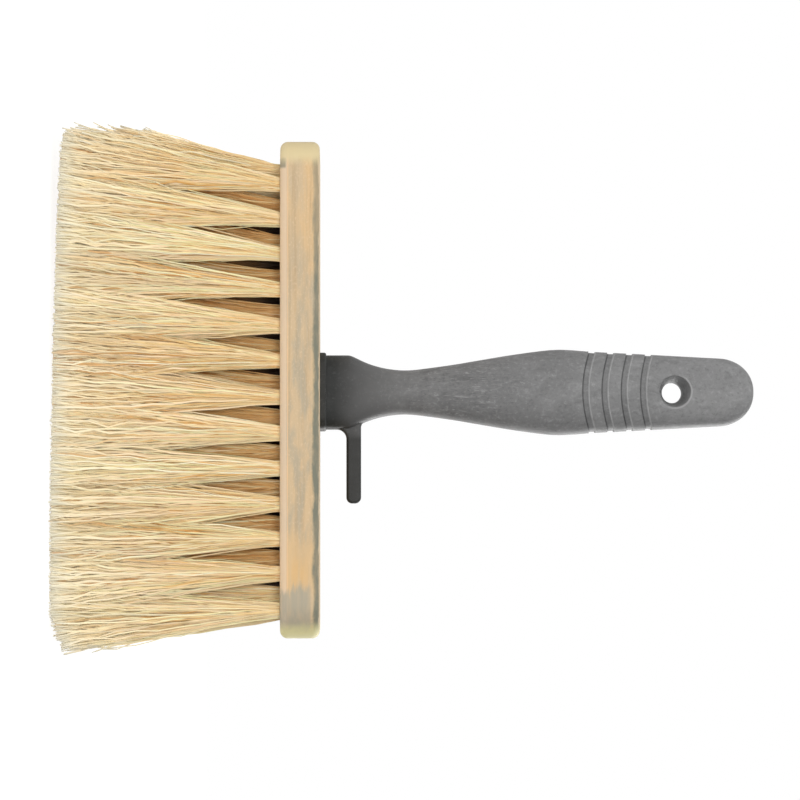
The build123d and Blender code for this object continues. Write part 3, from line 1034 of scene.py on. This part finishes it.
@dataclass
class TuftStrips:
    """The drilled wood round each row's tufts, flush with the block's tuft face."""

    thickness: float = 1.4 * MM
    half_width: float = 4.14 * MM
    hole_radius: float = 2.75 * MM
    sides: int = 32
    level: float = 1e-9  # what still counts as level with a tuft's centre

    def build(self, material: Material) -> list[Object]:
        """Builds one strip for each row.

        Args:
            material: The wood.

        Returns:
            The strips.
        """
        made = []
        for number in range(1, ROW_COUNT + 1):
            row = TuftRow(number)
            piece = self._strip(f"tuft_strip_{number}", row)
            place_piece(piece, material, row.node)
            made.append(piece)
        return made

    def _strip(self, name: str, row: TuftRow) -> Object:
        """Builds a strip as one drilled cell for each tuft, with rounded ends.

        Args:
            name: The strip's name.
            row: The row that it holds.

        Returns:
            The strip.
        """
        half_pitch = (row.places[1][0] - row.places[0][0]) / 2
        turn = np.arange(self.sides) * 2 * math.pi / self.sides
        way = np.stack([np.cos(turn), np.sin(turn)], axis=1)
        to_side = 1 / np.maximum(np.abs(way[:, 0]) / half_pitch, np.abs(way[:, 1]) / self.half_width)
        places, faces = [], []
        for number, centre in enumerate(row.places):
            out = to_side.copy()
            ends = (number == 0, -1), (number == TUFTS_IN_ROW - 1, 1)
            for at_end, sign in ends:
                outward = way[:, 0] * sign >= -self.level
                out[outward & at_end] = self.half_width
            for radius in (np.full(self.sides, self.hole_radius), out):
                for lift in (0.0, self.thickness):
                    flat = centre + way * radius[:, None]
                    places.append(np.column_stack([flat, np.full(self.sides, row.height + lift)]))
            first = number * 4 * self.sides
            inner, inner_up, outer, outer_up = (
                first + self.sides * place + np.arange(self.sides) for place in range(4)
            )
            for one, two in ((outer, inner), (inner, inner_up), (inner_up, outer_up), (outer_up, outer)):
                after_one, after_two = np.roll(one, -1), np.roll(two, -1)
                faces.append(np.stack([one, two, after_two, after_one], axis=1))
        piece = add_mesh(name, np.concatenate(places), [np.concatenate(faces)])
        piece.data.shade_flat()
        return piece


@dataclass
class PictureCamera:
    """The picture's camera: on its side, level with the block's top, a little to the hook's side."""

    distance: float = 1.25
    pixel: float = 0.3487 * MM  # what a pixel covers where the camera aims
    picture_width: float = 800.0
    swing: float = math.radians(2.4)
    height: float = 95.7 * MM
    aim_x: float = 2.62 * MM
    aim_z: float = 119.5 * MM
    sensor: float = 36.0  # millimetres, as the camera's own setting is
    clip: Span = (0.01, 100.0)

    def build(self) -> None:
        """Makes the camera and sets it as the scene's."""
        data = bpy.data.cameras.new("picture_camera")
        data.sensor_width = self.sensor
        data.lens = self.sensor * self.distance / (self.pixel * self.picture_width)
        data.clip_start, data.clip_end = self.clip
        camera = bpy.data.objects.new("picture_camera", data)
        bpy.context.scene.collection.objects.link(camera)
        side, back = math.sin(self.swing) * self.distance, math.cos(self.swing) * self.distance
        place = Vector((self.aim_x + side, -back, self.height))
        forward = (Vector((self.aim_x, 0, self.aim_z)) - place).normalized()
        upwards = Vector((0, 0, 1))
        right = (upwards - forward * upwards.dot(forward)).normalized()
        turned = Matrix((right, right.cross(forward), -forward)).transposed().to_4x4()
        camera.matrix_world = Matrix.Translation(place) @ turned
        bpy.context.scene.camera = camera


@dataclass(frozen=True)
class SoftLamp:
    """A square soft lamp."""

    name: str
    place: Place
    power: float  # in watts
    size: float = 0.8

    def build(self, aim: Place) -> None:
        """Puts the lamp up.

        Args:
            aim: Where it points.
        """
        data = bpy.data.lights.new(self.name, "AREA")
        data.energy, data.size = self.power, self.size
        lamp = bpy.data.objects.new(self.name, data)
        bpy.context.scene.collection.objects.link(lamp)
        lamp.location = self.place
        lamp.rotation_mode = "QUATERNION"
        lamp.rotation_quaternion = (Vector(aim) - Vector(self.place)).to_track_quat("-Z", "Y")


@dataclass
class Studio:
    """Pale floor, white surroundings, a lamp near the camera and larger ones round, over and under."""

    white: Colour = paint(255, 255, 255)
    paper: Colour = paint(242, 242, 242)
    floor_radius: float = 1.5
    floor_sides: int = 96
    floor_seen: float = 0.7  # the share of plain white in the floor that the camera sees
    floor_white: float = 1.24  # its strength, which makes the unshaded paper just white
    ambient: float = 0.33
    aim: Place = (0.0, 0.0, 0.11)
    lamps: tuple[SoftLamp, ...] = (
        SoftLamp("key_lamp", (0.0, -1.35, 0.22), 7.7, 0.4),
        SoftLamp("fill_lamp", (0.8, 1.0, 0.5), 11.5),
        SoftLamp("side_lamp", (-1.1, -0.45, 0.4), 4.2),
        SoftLamp("top_lamp", (-0.1, -0.35, 1.3), 5.0),
        SoftLamp("low_lamp", (0.0, -0.5, -0.9), 4.4),  # lights the tips through the floor
    )

    def build(self) -> None:
        """Builds the floor, the surroundings and the lamps."""
        self._floor()
        self._surroundings()
        for lamp in self.lamps:
            lamp.build(self.aim)

    @staticmethod
    def _show_by_ray(b: Bench, hidden: Node, seen: Node) -> None:
        """Ends the bench's nodes in one shader for sight and another for the light.

        Args:
            b: The bench.
            hidden: The shader that other light meets.
            seen: The shader that the camera, gloss and glass see.
        """
        path = b.node("ShaderNodeLightPath").outputs
        sight = Value(b, path["Is Camera Ray"])
        for name in ("Is Glossy Ray", "Is Transmission Ray"):
            sight = sight.larger(path[name])
        b.show(b.blend(sight, hidden, seen))

    def _floor(self) -> None:
        """Lays a disc under the tips: white with a soft shadow to the camera, and open to other light."""
        turn = np.arange(self.floor_sides) * 2 * math.pi / self.floor_sides
        ring = np.column_stack([np.cos(turn), np.sin(turn), np.zeros_like(turn)]) * self.floor_radius
        floor = add_mesh("floor", ring, [np.arange(self.floor_sides)[None, :]])
        material = bpy.data.materials.new("studio_floor")
        b = Bench(material)
        paper = b.node("ShaderNodeBsdfDiffuse", {}, {"Color": self.paper})
        white = b.node("ShaderNodeEmission", {}, {"Color": self.white, "Strength": self.floor_white})
        clear = b.node("ShaderNodeBsdfTransparent", {}, {"Color": self.white})
        self._show_by_ray(b, clear, b.blend(self.floor_seen, paper, white))
        floor.data.materials.append(material)

    def _surroundings(self) -> None:
        """Makes an even soft world that shows white."""
        world = bpy.data.worlds.new("studio_surroundings")
        bpy.context.scene.world = world
        b = Bench(world)
        soft = b.node("ShaderNodeBackground", {}, {"Color": self.white, "Strength": self.ambient})
        white = b.node("ShaderNodeBackground", {}, {"Color": self.white, "Strength": 1.0})
        self._show_by_ray(b, soft, white)


def main() -> None:
    """Builds the picture's stage and the brush's pieces."""
    logging.basicConfig(level=logging.INFO, format="%(name)s: %(message)s")
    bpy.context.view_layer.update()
    bpy.context.scene.view_settings.view_transform = "Standard"
    PictureCamera().build()
    Studio().build()
    low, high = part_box("block")
    wood = PlanedWood().make(low, high)
    steel = PlatedSteel().make()
    dress_node("block", wood)
    dress_node("handle", GreyPlastic().make(high.z))
    for node in frame["nodes"]:
        if node.startswith(("handle_screw", "wire_anchors")):
            dress_node(node, steel)
    for piece in TuftStrips().build(wood) + Bristles().build(PlantFibre().make()):
        log.info("%s: %d faces", piece.name, len(piece.data.polygons))


if __name__ == "__main__":
    main()
